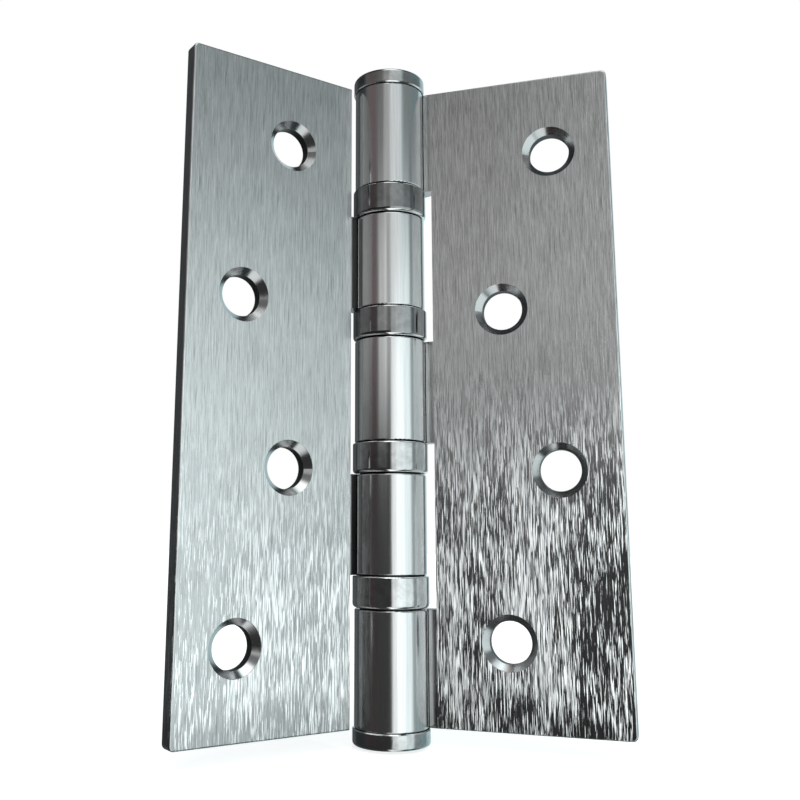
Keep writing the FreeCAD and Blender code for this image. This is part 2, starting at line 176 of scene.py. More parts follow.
class ShaderSheet:
    """A node tree written as expressions."""

    def __init__(self, tree: bpy.types.NodeTree) -> None:
        """Clears the tree.

        Args:
            tree: The node tree of a material or of the world.
        """
        self.tree = tree
        tree.nodes.clear()

    def node(
        self, kind: str, settings: dict | None = None, inputs: dict | None = None
    ) -> bpy.types.Node:
        """Adds one node.

        Args:
            kind: The node's type.
            settings: Properties set before its sockets.
            inputs: What each named or numbered socket gets: a value or a link.

        Returns:
            The node.
        """
        made = self.tree.nodes.new(kind)
        for name, setting in (settings or {}).items():
            setattr(made, name, setting)
        for name, given in (inputs or {}).items():
            source = given.socket if isinstance(given, Value) else given
            if isinstance(source, bpy.types.NodeSocket):
                self.tree.links.new(source, made.inputs[name])
            else:
                made.inputs[name].default_value = source
        return made

    def maths(self, operation: str, *values: Number) -> Value:
        """Adds a Math node.

        Args:
            operation: The node's operation.
            values: Its one or two operands.

        Returns:
            Its result.
        """
        made = self.node("ShaderNodeMath", {"operation": operation}, dict(enumerate(values)))
        return Value(self, made.outputs[0])

    def length(self, across: Value, up: Value) -> Value:
        """The length of the vector that has these two parts."""
        return self.maths("SQRT", across * across + up * up)

    def split(self, vector: bpy.types.NodeSocket) -> tuple[Value, Value, Value]:
        """The three parts of a vector."""
        outputs = self.node("ShaderNodeSeparateXYZ", None, {"Vector": vector}).outputs
        return Value(self, outputs[0]), Value(self, outputs[1]), Value(self, outputs[2])

    def join(self, across: Number, depth: Number, up: Number) -> bpy.types.NodeSocket:
        """A vector from its three parts."""
        inputs = {"X": across, "Y": depth, "Z": up}
        return self.node("ShaderNodeCombineXYZ", None, inputs).outputs[0]

    def place(self) -> tuple[Value, Value, Value]:
        """Where the shaded spot lies on its piece, in millimetres."""
        parts = self.split(self.node("ShaderNodeTexCoord").outputs["Object"])
        across, depth, up = (part * (1 / MILLIMETRE) for part in parts)
        return across, depth, up

    def facing(self) -> bpy.types.NodeSocket:
        """The direction that the surface faces."""
        return self.node("ShaderNodeNewGeometry").outputs["Normal"]

    def noise(
        self, vector: bpy.types.NodeSocket, detail: float = 2.0, roughness: float = 0.5
    ) -> Value:
        """Noise of about one bump to each unit of a vector.

        Args:
            vector: Where to read the noise.
            detail: How many finer layers it has.
            roughness: How strong the finer layers are.

        Returns:
            Noise around one half.
        """
        inputs = {"Vector": vector, "Scale": 1.0, "Detail": detail, "Roughness": roughness}
        return Value(self, self.node("ShaderNodeTexNoise", None, inputs).outputs["Fac"])

    def flakes(self, vector: bpy.types.NodeSocket) -> Value:
        """A random number from 0 to 1 for each of the cells that fill the vector's space.

        Args:
            vector: Where to read the cells, of which there is about one to each unit.

        Returns:
            The number of the cell that the spot lies in.
        """
        inputs = {"Vector": vector, "Scale": 1.0, "Randomness": 1.0}
        made = self.node("ShaderNodeTexVoronoi", None, inputs)
        return self.split(made.outputs["Color"])[0]

    def blend(
        self,
        factor: Number,
        first: Colour | bpy.types.NodeSocket,
        second: Colour | bpy.types.NodeSocket,
    ) -> bpy.types.NodeSocket:
        """A colour between two colours.

        Args:
            factor: 0 for the first colour and 1 for the second.
            first: Colour or link.
            second: Colour or link.

        Returns:
            The mixed colour.
        """
        settings = {"data_type": "RGBA"}
        made = self.node("ShaderNodeMix", settings, {0: factor, 6: first, 7: second})
        return made.outputs[2]

    def seen_by_camera(self, seen: bpy.types.Node, other: bpy.types.Node) -> bpy.types.Node:
        """One shader for what the camera sees itself, and another for all else.

        Args:
            seen: The shader that the camera sees.
            other: The shader that lights and shows in reflections.

        Returns:
            The two joined.
        """
        camera_ray = self.node("ShaderNodeLightPath").outputs["Is Camera Ray"]
        inputs = {0: camera_ray, 1: other.outputs[0], 2: seen.outputs[0]}
        return self.node("ShaderNodeMixShader", None, inputs)

    def bump(
        self, relief: Value, facing: bpy.types.NodeSocket | None = None
    ) -> bpy.types.NodeSocket:
        """The direction that the surface faces once a fine relief lies on it.

        Args:
            relief: How far the relief stands up, in millimetres.
            facing: The direction that the surface faces without it, where that was changed.

        Returns:
            The new direction.
        """
        inputs = {"Strength": 1.0, "Distance": MILLIMETRE, "Height": relief}
        if facing is not None:
            inputs["Normal"] = facing
        return self.node("ShaderNodeBump", None, inputs).outputs[0]

    def metal(
        self, colour: bpy.types.NodeSocket, roughness: Value, facing: bpy.types.NodeSocket
    ) -> None:
        """Ends the tree in bare metal.

        Args:
            colour: The metal's colour.
            roughness: How far it blurs what it reflects.
            facing: The direction that its surface faces.
        """
        inputs = {
            "Base Color": colour,
            "Metallic": 1.0,
            "Roughness": roughness,
            "Normal": facing,
        }
        shader = self.node("ShaderNodeBsdfPrincipled", None, inputs)
        self.node("ShaderNodeOutputMaterial", None, {"Surface": shader.outputs[0]})


def new_material(name: str) -> tuple[bpy.types.Material, ShaderSheet]:
    """Makes an empty material.

    Args:
        name: Its name.

    Returns:
        The material and its node tree.
    """
    material = bpy.data.materials.new(name)
    material.use_nodes = True
    return material, ShaderSheet(material.node_tree)


def grey(level: float) -> Colour:
    """A grey of this brightness."""
    return (level, level, level, 1.0)


@dataclass(frozen=True)
class Streaks:
    """Noise drawn out along the pin.

    Attributes:
        across: How many bumps there are to a millimetre across the pin.
        up: How many bumps there are to a millimetre along it.
        detail: How many finer layers the noise has.
        roughness: How strong the finer layers are.
        shift: How far up the noise is read, so that two of one kind differ.
    """

    across: float
    up: float
    detail: float = 1.0
    roughness: float = 0.5
    shift: float = 0.0

    def where(self, across: Value, depth: Value, up: Value) -> bpy.types.NodeSocket:
        """Where the noise is read for a place in millimetres."""
        shifted = up * self.up + self.shift
        return across.sheet.join(across * self.across, depth * self.across, shifted)

    def read(self, across: Value, depth: Value, up: Value) -> Value:
        """The noise at a place in millimetres."""
        spot = self.where(across, depth, up)
        return across.sheet.noise(spot, self.detail, self.roughness)


@dataclass(frozen=True)
class LeafPlan:
    """Where a leaf lies and where its screw holes are, in millimetres.

    Attributes:
        side: Which leaf this is.
        polar: The direction in which the leaf leaves the pin, in degrees.
        flip: -1 where the leaf is turned over, end for end.
        front: How far the countersunk face lies behind the plane through the pin's axis.
        knuckle_radius: Outer radius of the rolled knuckles.
        notch_edge: Where the sheet starts beside the other leaf's knuckles.
        near_row: Distance from the pin to the nearer two screw holes.
        far_row: Distance from the pin to the farther two.
        pitch: Height from one screw hole to the next.
        countersink_radius: Outer radius of the countersinks.
        hole_radius: Radius of the screw holes.
        foot: The height where the leaf's lowest strip ends, from full to nothing.
        shin: The band above the foot.
        shin_softness: Width over which the band's edges fade.
        tip: Distance along the leaf over which its outer part begins.
    """

    side: Side
    polar: float
    flip: float
    front: float = 1.0
    knuckle_radius: float = 5.55
    notch_edge: float = 6.8
    near_row: float = 17.65
    far_row: float = 25.7
    pitch: float = 25.0
    countersink_radius: float = 4.1
    hole_radius: float = 3.1
    foot: Span = (-50.0, -42.0)
    shin: Span = (-34.0, -10.0)
    shin_softness: float = 12.0
    tip: Span = (18.0, 35.0)

    @property
    def along(self) -> Vector:
        """Unit vector along the leaf, away from the pin."""
        turn = math.radians(self.polar)
        return Vector((math.cos(turn), math.sin(turn), 0.0))

    @property
    def cone_foot(self) -> float:
        """Depth at which a screw hole's cone meets its straight wall."""
        return self.front + self.countersink_radius - self.hole_radius

    @property
    def behind(self) -> Vector:
        """Unit vector out of the leaf's plain back."""
        return Vector((0.0, 0.0, self.flip)).cross(self.along)

    @property
    def holes(self) -> list[tuple[float, float]]:
        """Each screw hole's distance along the leaf and its height."""
        rows = (self.far_row, self.near_row, self.far_row, self.near_row)
        levels = (1.5, 0.5, -0.5, -1.5)
        return [(row, self.flip * level * self.pitch) for row, level in zip(rows, levels)]


# Where the masks of a leaf fade, in millimetres out from the edge that they belong to
KNUCKLE_FADE = (0.03, 0.25)
HOLE_FADE = 0.06
FRONT_FADE = (0.02, 0.08)
WALL_FADE = 0.05
STRIP_FADE = (-0.25, 0.1)

# How far up or down a knuckle's flat end faces, squared, from its start to full
KNUCKLE_END = (0.5, 0.8)


@dataclass(frozen=True)
class Zones:
    """Masks from 0 to 1 over a leaf.

    Attributes:
        knuckle: The rolled knuckles.
        knuckle_end: Their flat ends.
        hole: The screw holes, cone and wall.
        wall: The straight walls of the screw holes.
        face: All that is neither knuckle nor screw hole.
        brushed: The face outside the strip beside the knuckles.
        strip: The unbrushed strip beside the knuckles.
        coarse: Where the dashes lie, strongest at the foot.
        foot: The lowest strip of the leaf.
        shin: The band above the foot.
        tip: The outer part of the leaf, towards its free edge.
    """

    knuckle: Value
    knuckle_end: Value
    hole: Value
    wall: Value
    face: Value
    brushed: Value
    strip: Value
    coarse: Value
    foot: Value
    shin: Value
    tip: Value


@dataclass(frozen=True)
class Brushing:
    """How the brushed marks of a leaf are laid.

    Attributes:
        cloud: Slow change over the leaf.
        long_dash: The longest of the noises that place the dashes.
        short_dash: The shorter one.
        flake: Cells that break the dashes up.
        groove: Long dark grooves.
        grain: The fine grain above the dashes.
        scratch: Thin bright scratches.
        rolled: The long marks of rolling on the knuckles.
        speck: The specks between them.
        turned: Rings of a countersink, to a millimetre.
        flake_weight: How much the cells count where the dashes are placed.
        long_weight: How much the long noise counts.
        short_weight: How much the shorter noise counts.
        cloud_weight: How much the slow change counts.
        foot_loss: How much sparser the dashes are at the foot.
        shin_loss: How much sparser they are in the band above it.
        tip_loss: How much sparser they are towards the free edge.
        dash_step: The level of the placing noise at which a dash begins, and is full.
        groove_step: The same for a groove.
        scratch_step: The same for a scratch.
        grain_gain: How far the grain is spread out around 0.
        speck_share: The share of the specks in the knuckles' marks.
    """

    cloud: Streaks = Streaks(0.16, 0.07, 3.0, 0.6)
    long_dash: Streaks = Streaks(9.4, 0.16)
    short_dash: Streaks = Streaks(9.0, 0.56)
    flake: Streaks = Streaks(10.5, 0.46)
    groove: Streaks = Streaks(7.0, 0.16, shift=40.0)
    grain: Streaks = Streaks(12.5, 0.36, 3.0, 0.8)
    scratch: Streaks = Streaks(9.0, 0.09, shift=80.0)
    rolled: Streaks = Streaks(4.0, 0.10, 3.0, 0.6)
    speck: Streaks = Streaks(5.0, 5.0)
    turned: float = 9.0
    flake_weight: float = 0.34
    long_weight: float = 0.36
    short_weight: float = 0.30
    cloud_weight: float = 0.46
    foot_loss: float = 0.09
    shin_loss: float = 0.045
    tip_loss: float = 0.055
    dash_step: Span = (0.43, 0.55)
    groove_step: Span = (0.57, 0.66)
    scratch_step: Span = (0.62, 0.74)
    grain_gain: float = 2.8
    speck_share: float = 0.2


@dataclass(frozen=True)
class BrushMarks:
    """The marks that brushing, rolling and turning left on one leaf.

    Attributes:
        cloud: Slow change over the leaf, around one half.
        dashes: The dashes, from 0 to 1.
        flake: The cells that break them up, from 0 to 1.
        groove: The dark grooves, from 0 to 1.
        scratch: The bright scratches, from 0 to 1.
        grain: The fine grain, around one half.
        fine: The same grain, spread out around 0.
        rolled: The knuckles' marks, around one half.
        turned: The countersinks' rings, around one half.
    """

    cloud: Value
    dashes: Value
    flake: Value
    groove: Value
    scratch: Value
    grain: Value
    fine: Value
    rolled: Value
    turned: Value


@dataclass(frozen=True)
class LeafSteel:
    """Satin steel sheet, brushed along the pin, with polished knuckles and bare countersinks.

    Brightness and roughness run from 0 to 1, heights are in millimetres.

    Attributes:
        plan: Where the leaf lies.
        brushing: How its marks are laid.
        ground: Brightness of the steel between the brushed dashes.
        dash: Brightness of the dashes, above the ground's: a painted glint on the real brushed
            dashes, strongest towards the foot.
        ground_roughness: Roughness between the dashes.
        dash_roughness: Roughness of the dashes.
        satin_roughness: Roughness above the dashes, where only fine grain is left.
        satin_grain: How much rougher the fine grain is there.
        open_roughness: What is added to the ground between the dashes, at least and at most.
        open_step: The level of the slow change from which it is added, and in full.
        open_foot_loss: How much less of it there is at the foot.
        dash_height: How far the dashes stand up.
        dash_lean: How far the dashes' facets lean towards the free edge, as a slope.
        lean_least: The share of it that every dash has.
        lean_spread: The share by which one dash leans more than another.
        lean_tip_loss: The share that is lost towards the free edge.
        grain_height: How far the fine grain stands up.
        coarse_from: Height at which the dashes are at their strongest.
        coarse_to: Height above which only fine grain is left.
        crease_painted_shade: How far painted shade darkens the unbrushed strip beside the knuckles,
            in the crease.
        grain_contrast: How strongly the fine grain shows above the dashes.
        dash_grain: How strongly it shows between the dashes.
        flake_contrast: How much one dash differs from the next.
        cloud_contrast: How strongly the slow change shows above the dashes.
        scratch_level: How bright the scratches are.
        groove_darkness: How dark the grooves are.
        plain_share: Brightness above the dashes, as a share of ground and dash together.
        darkest: The least brightness above the dashes.
        foot_painted_shade: How far painted shade darkens the foot.
        foot_painted_glint: How much brighter its dashes are, a painted glint.
        knuckle_level: Brightness of the rolled knuckles.
        knuckle_contrast: How strongly the marks of rolling show on them.
        knuckle_roughness: Roughness of the rolled knuckles.
        knuckle_height: How far the marks of rolling stand up.
        end_painted_shade: How far painted shade darkens the knuckles' flat ends, in the joints.
        hole_level: Brightness of the countersinks.
        hole_roughness: Roughness of the countersinks.
        hole_height: How far the rings of turning stand up in them.
        wall_painted_shade: How far painted shade darkens the straight walls of the screw holes.
        wall_roughness: How much rougher they are.
    """

    plan: LeafPlan
    brushing: Brushing = Brushing()
    ground: float = 0.49
    dash: float = 0.83
    ground_roughness: float = 0.17
    dash_roughness: float = 0.24
    satin_roughness: float = 0.30
    satin_grain: float = 0.04
    open_roughness: Span = (0.04, 0.13)
    open_step: Span = (0.36, 0.60)
    open_foot_loss: float = 0.2
    dash_height: float = 0.010
    dash_lean: float = 0.34
    lean_least: float = 0.3
    lean_spread: float = 0.8
    lean_tip_loss: float = 0.1
    grain_height: float = 0.006
    coarse_from: float = -24.0
    coarse_to: float = 24.0
    crease_painted_shade: float = 0.2
    grain_contrast: float = 0.8
    dash_grain: float = 0.12
    flake_contrast: float = 0.14
    cloud_contrast: float = 0.10
    scratch_level: float = 0.22
    groove_darkness: float = 0.28
    plain_share: float = 0.88
    darkest: float = 0.12
    foot_painted_shade: float = 0.25
    foot_painted_glint: float = 0.10
    knuckle_level: float = 0.62
    knuckle_contrast: float = 0.4
    knuckle_roughness: float = 0.16
    knuckle_height: float = 0.0036
    end_painted_shade: float = 0.9
    hole_level: float = 0.48
    hole_roughness: float = 0.18
    hole_height: float = 0.004
    wall_painted_shade: float = 0.36
    wall_roughness: float = 0.4

    def make(self) -> bpy.types.Material:
        """Makes the material.

        Returns:
            The leaf's material, which reads the leaf's own directions.
        """
        material, sheet = new_material(f"{self.plan.side.value}_steel")
        x, y, z = sheet.place()
        along = x * self.plan.along.x + y * self.plan.along.y
        depth = x * self.plan.behind.x + y * self.plan.behind.y
        radius = sheet.length(x, y)
        hole_distance = self._hole_distance(sheet, along, z)
        facing = sheet.facing()
        upward = sheet.split(facing)[2]

        zones = self._zones(along, depth, z, radius, hole_distance, upward)
        marks = self._marks(zones, along, depth, (x, y, z), hole_distance)
        level = self._level(zones, marks)
        shades = {"Red": level, "Green": level, "Blue": level}
        tone = sheet.node("ShaderNodeCombineColor", None, shades).outputs[0]
        bumpy = sheet.bump(self._relief(zones, marks), self._facets(sheet, zones, marks, facing))
        sheet.metal(tone, self._roughness(zones, marks), bumpy)
        return material

    def _zones(
        self,
        along: Value,
        depth: Value,
        up: Value,
        radius: Value,
        hole_distance: Value,
        upward: Value,
    ) -> Zones:
        """Divides the leaf up.

        Args:
            along: Distance along the leaf.
            depth: Distance behind the plane through the pin's axis.
            up: Height.
            radius: Distance from the pin's axis.
            hole_distance: Distance from the nearest screw hole's axis.
            upward: How far the surface faces up, from -1 to 1.

        Returns:
            The masks, which fade over a few hundredths of a millimetre at the edges of pieces.
        """
        plan = self.plan
        hole_edge = plan.countersink_radius
        knuckle = 1.0 - radius.rise(*(plan.knuckle_radius + fade for fade in KNUCKLE_FADE))
        hole = 1.0 - hole_distance.rise(hole_edge, hole_edge + HOLE_FADE)
        hole = hole * depth.rise(*(plan.front + fade for fade in FRONT_FADE))
        face = (1.0 - knuckle) * (1.0 - hole)
        strip = 1.0 - along.rise(*(plan.notch_edge + fade for fade in STRIP_FADE))
        return Zones(
            knuckle=knuckle,
            knuckle_end=(upward * upward).rise(*KNUCKLE_END) * knuckle,
            hole=hole,
            wall=hole * depth.rise(plan.cone_foot - WALL_FADE, plan.cone_foot + WALL_FADE),
            face=face,
            brushed=face * (1.0 - strip),
            strip=strip * face,
            coarse=1.0 - up.rise(self.coarse_from, self.coarse_to),
            foot=1.0 - up.rise(*plan.foot),
            shin=up.between(*plan.shin, plan.shin_softness),
            tip=along.rise(*plan.tip),
        )

    def _marks(
        self,
        zones: Zones,
        along: Value,
        depth: Value,
        place: tuple[Value, Value, Value],
        hole_distance: Value,
    ) -> BrushMarks:
        """Lays the marks.

        Args:
            zones: The leaf's masks.
            along: Distance along the leaf.
            depth: Distance behind the plane through the pin's axis.
            place: The place in the model's own directions.
            hole_distance: Distance from the nearest screw hole's axis.

        Returns:
            The marks.
        """
        way = self.brushing
        spot = (along, depth, place[2])
        sheet = along.sheet
        cloud = way.cloud.read(*spot)
        flake = sheet.flakes(way.flake.where(*spot))
        placing = (
            flake * way.flake_weight
            + way.long_dash.read(*spot) * way.long_weight
            + way.short_dash.read(*spot) * way.short_weight
            + (cloud - 0.5) * way.cloud_weight
        )
        loss = zones.foot * way.foot_loss + zones.shin * way.shin_loss + zones.tip * way.tip_loss
        grain = way.grain.read(*spot)
        specks = way.speck.read(*place) * way.speck_share
        return BrushMarks(
            cloud=cloud,
            dashes=(placing - loss).rise(*way.dash_step) * zones.coarse * zones.brushed,
            flake=flake,
            groove=way.groove.read(*spot).rise(*way.groove_step),
            scratch=way.scratch.read(*spot).rise(*way.scratch_step),
            grain=grain,
            fine=(grain - 0.5) * way.grain_gain,
            rolled=way.rolled.read(*place) * (1.0 - way.speck_share) + specks,
            turned=sheet.noise(sheet.join(hole_distance * way.turned, 0.0, 0.0), 1.0),
        )

    def _level(self, zones: Zones, marks: BrushMarks) -> Value:
        """How bright the steel is.

        Args:
            zones: The leaf's masks.
            marks: Its marks.

        Returns:
            The brightness.
        """
        middle = (self.ground + self.dash) / 2
        plain = (
            middle * self.plain_share
            + marks.fine * (middle * self.grain_contrast)
            + (marks.cloud - 0.5) * self.cloud_contrast
            + marks.scratch * self.scratch_level
        ).most(self.darkest)
        struck = (
            # The dashes are real brushed marks, and their brighter colour is a painted glint.
            self.ground
            + marks.dashes * (self.dash - self.ground)
            + marks.fine * self.dash_grain
            + (marks.flake - 0.5) * self.flake_contrast
        )
        # Painted shade darkens the foot, and a painted glint brightens its dashes.
        struck = struck * (1.0 - zones.foot * self.foot_painted_shade)
        struck = struck + marks.dashes * zones.foot * self.foot_painted_glint
        level = plain * (1.0 - zones.coarse) + struck * zones.coarse
        level = level * (1.0 - marks.groove * self.groove_darkness)
        # Painted shade in the crease: the unbrushed strip beside the knuckles is darkened.
        level = level * (1.0 - zones.strip * self.crease_painted_shade) * zones.face
        rolling = 1.0 + (marks.rolled - 0.5) * self.knuckle_contrast
        level = level + rolling * self.knuckle_level * zones.knuckle
        # Painted shade darkens the straight walls of the screw holes.
        level = level + self.hole_level * zones.hole - self.wall_painted_shade * zones.wall
        # Painted shade darkens the knuckles' flat ends, in the joints.
        return level * (1.0 - zones.knuckle_end * self.end_painted_shade)

    def _roughness(self, zones: Zones, marks: BrushMarks) -> Value:
        """How far the steel blurs what it reflects.

        Args:
            zones: The leaf's masks.
            marks: Its marks.

        Returns:
            The roughness.
        """
        least, most = self.open_roughness
        satin = self.satin_roughness + marks.fine * self.satin_grain
        opened = marks.cloud.rise(*self.open_step) * (most - least) + least
        opened = opened * (1.0 - zones.foot * self.open_foot_loss) * (1.0 - zones.tip)
        dashed = marks.dashes * (self.dash_roughness - self.ground_roughness)
        struck = self.ground_roughness + opened + dashed
        rough = satin * (1.0 - zones.coarse) + struck * zones.coarse
        rough = rough * zones.face + self.knuckle_roughness * zones.knuckle
        return rough + self.hole_roughness * zones.hole + self.wall_roughness * zones.wall

    def _relief(self, zones: Zones, marks: BrushMarks) -> Value:
        """How far the marks stand up.

        Args:
            zones: The leaf's masks.
            marks: Its marks.

        Returns:
            The height in millimetres.
        """
        brushed = marks.grain * self.grain_height + marks.dashes * self.dash_height
        rolled = marks.rolled * self.knuckle_height * zones.knuckle
        return brushed * zones.brushed + rolled + marks.turned * self.hole_height * zones.hole

    def _facets(
        self,
        sheet: ShaderSheet,
        zones: Zones,
        marks: BrushMarks,
        facing: bpy.types.NodeSocket,
    ) -> bpy.types.NodeSocket:
        """Leans the dashes' facets towards the free edge.

        Args:
            sheet: The material's node tree.
            zones: The leaf's masks.
            marks: Its marks.
            facing: The direction that the surface faces.

        Returns:
            The direction that the facets face.
        """
        along = self.plan.along
        share = marks.flake * self.lean_spread + self.lean_least - zones.tip * self.lean_tip_loss
        lean = marks.dashes * share * self.dash_lean
        leaning = sheet.join(lean * along.x, lean * along.y, 0.0)
        added = sheet.node("ShaderNodeVectorMath", {"operation": "ADD"}, {0: facing, 1: leaning})
        unit = {"operation": "NORMALIZE"}
        return sheet.node("ShaderNodeVectorMath", unit, {0: added.outputs[0]}).outputs[0]

    def _hole_distance(self, sheet: ShaderSheet, along: Value, up: Value) -> Value:
        """Distance to the nearest screw hole's axis.

        Args:
            sheet: The material's node tree.
            along: Distance along the leaf.
            up: Height.

        Returns:
            The distance in millimetres.
        """
        first, *others = (sheet.length(along - row, up - level) for row, level in self.plan.holes)
        nearest = first
        for distance in others:
            nearest = nearest.least(distance)
        return nearest


class Marks(Enum):
    """Which way the fine lines of a round piece run."""

    TURNED = "rings round the axis"
    DRAWN = "lines along the axis"


@dataclass(frozen=True)
class RoundSteel:
    """Polished steel of a round piece, with the faint lines that its making left.

    Attributes:
        name: The material's name.
        level: How bright the steel is.
        marks: Which way its fine lines run.
        roughness: How far it blurs what it reflects.
        line_height: How far the lines stand up, in millimetres.
        patch_height: How far the surface swells from patch to patch, in millimetres.
        rim_highlight: How far the rounded rims carry a painted highlight, from 0 to 1.
        end_painted_shade: How far painted shade darkens the flat ends, in the joints, from 0 to 1.
        ring_pitch: How many rings of turning there are to a millimetre.
        drawn: The lines of drawing.
        patch: The patches, over which the brightness changes.
        patch_shares: Brightness of the dull and of the bright patches, as shares of the level.
        patch_step: The level of the patches' noise from which they are dull, and bright.
        rim: How far up or down a rim faces, squared, from its start to its end.
        rim_softness: Width over which a rim's edges fade.
        rim_highlight_level: How bright a rim's painted highlight is.
        end: How far up or down a flat end faces, squared, from its start to full.
        end_shade_level: How bright a flat end is under its painted shade.
        line_roughness: How much rougher the lines are.
    """

    name: str
    level: float
    marks: Marks = Marks.TURNED
    roughness: float = 0.18
    line_height: float = 0.002
    patch_height: float = 0.004
    rim_highlight: float = 0.0
    end_painted_shade: float = 0.0
    ring_pitch: float = 6.0
    drawn: Streaks = Streaks(4.0, 0.2, 2.0, 0.6)
    patch: Streaks = Streaks(0.8, 0.8, 2.0)
    patch_shares: Span = (0.86, 1.08)
    patch_step: Span = (0.3, 0.7)
    rim: Span = (0.25, 0.9)
    rim_softness: float = 0.2
    rim_highlight_level: float = 0.95
    end: Span = (0.9, 0.97)
    end_shade_level: float = 0.02
    line_roughness: float = 0.04

    def make(self) -> bpy.types.Material:
        """Makes the material.

        Returns:
            The material, which reads the piece's own directions.
        """
        material, sheet = new_material(self.name)
        x, y, z = sheet.place()
        if self.marks is Marks.TURNED:
            rings = sheet.join(sheet.length(x, y) * self.ring_pitch, 0.0, z * self.ring_pitch)
            lines = sheet.noise(rings, 2.0, 0.6)
        else:
            lines = self.drawn.read(x, y, z)
        patches = self.patch.read(x, y, z)
        relief = lines * self.line_height + patches * self.patch_height
        upward = sheet.split(sheet.facing())[2]
        slope = upward * upward
        dull, bright = (grey(self.level * share) for share in self.patch_shares)
        tone = sheet.blend(patches.rise(*self.patch_step), dull, bright)
        # Painted highlight on the rounded rims, which face partly up or down.
        rim = slope.between(*self.rim, self.rim_softness)
        tone = sheet.blend(rim * self.rim_highlight, tone, grey(self.rim_highlight_level))
        # Painted shade darkens the flat ends, in the joints.
        end = slope.rise(*self.end)
        tone = sheet.blend(end * self.end_painted_shade, tone, grey(self.end_shade_level))
        roughness = self.roughness + lines * self.line_roughness
        sheet.metal(tone, roughness, sheet.bump(relief))
        return material


def dress(node: str, material: bpy.types.Material, frame: dict) -> None:
    """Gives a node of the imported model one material.

    Args:
        node: The node's name.
        material: Its finish.
        frame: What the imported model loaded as.
    """
    mesh = frame["nodes"][node].data
    mesh.materials.clear()
    mesh.materials.append(material)


@dataclass
class Leaf:
    """One leaf with its knuckles."""

    steel: LeafSteel

    def build(self, frame: dict) -> None:
        """Dresses the leaf.

        Args:
            frame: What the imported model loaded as.
        """
        name = self.steel.plan.side.value
        dress(name, self.steel.make(), frame)
        log.info("%s dressed", name)


@dataclass
class Bearing:
    """One thrust bearing: a drawn cover round two races and their balls."""

    number: int
    cover: bpy.types.Material
    race: bpy.types.Material
    ball: bpy.types.Material

    def build(self, frame: dict) -> None:
        """Dresses the bearing's four nodes.

        Args:
            frame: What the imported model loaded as.
        """
        finishes = {
            "cover": self.cover,
            "upper_race": self.race,
            "lower_race": self.race,
            "balls": self.ball,
        }
        for piece, finish in finishes.items():
            dress(f"bearing_{self.number}_{piece}", finish, frame)
        log.info("bearing %d dressed", self.number)


@dataclass
class PinAndCaps:
    """The fixed pin and the two turned caps that close the barrel."""

    top_cap: bpy.types.Material
    bottom_cap: bpy.types.Material
    pin: bpy.types.Material

    def build(self, frame: dict) -> None:
        """Dresses the three nodes.

        Args:
            frame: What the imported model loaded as.
        """
        dress("hinge_pin", self.pin, frame)
        dress("top_cap", self.top_cap, frame)
        dress("bottom_cap", self.bottom_cap, frame)
        log.info("pin and caps dressed")


@dataclass(frozen=True)
class Panel:
    """One soft panel of the room that the steel reflects, in degrees.

    A bearing is 0 straight in front of the frame leaf and grows towards its free edge.

    Attributes:
        bearing_from: Bearing of its one side.
        bearing_to: Bearing of its other side.
        up_from: Height of its lower edge above the horizon.
        up_to: Height of its upper edge.
        level: How bright it is.
        side_softness: Width over which its sides fade.
        edge_softness: Width over which its lower and upper edges fade.
    """

    bearing_from: float
    bearing_to: float
    up_from: float
    up_to: float
    level: float
    side_softness: float = 10.0
    edge_softness: float = 14.0


@dataclass(frozen=True)
class Tint:
    """The colour that the room has at one bearing, in degrees."""

    bearing: float
    colour: Colour


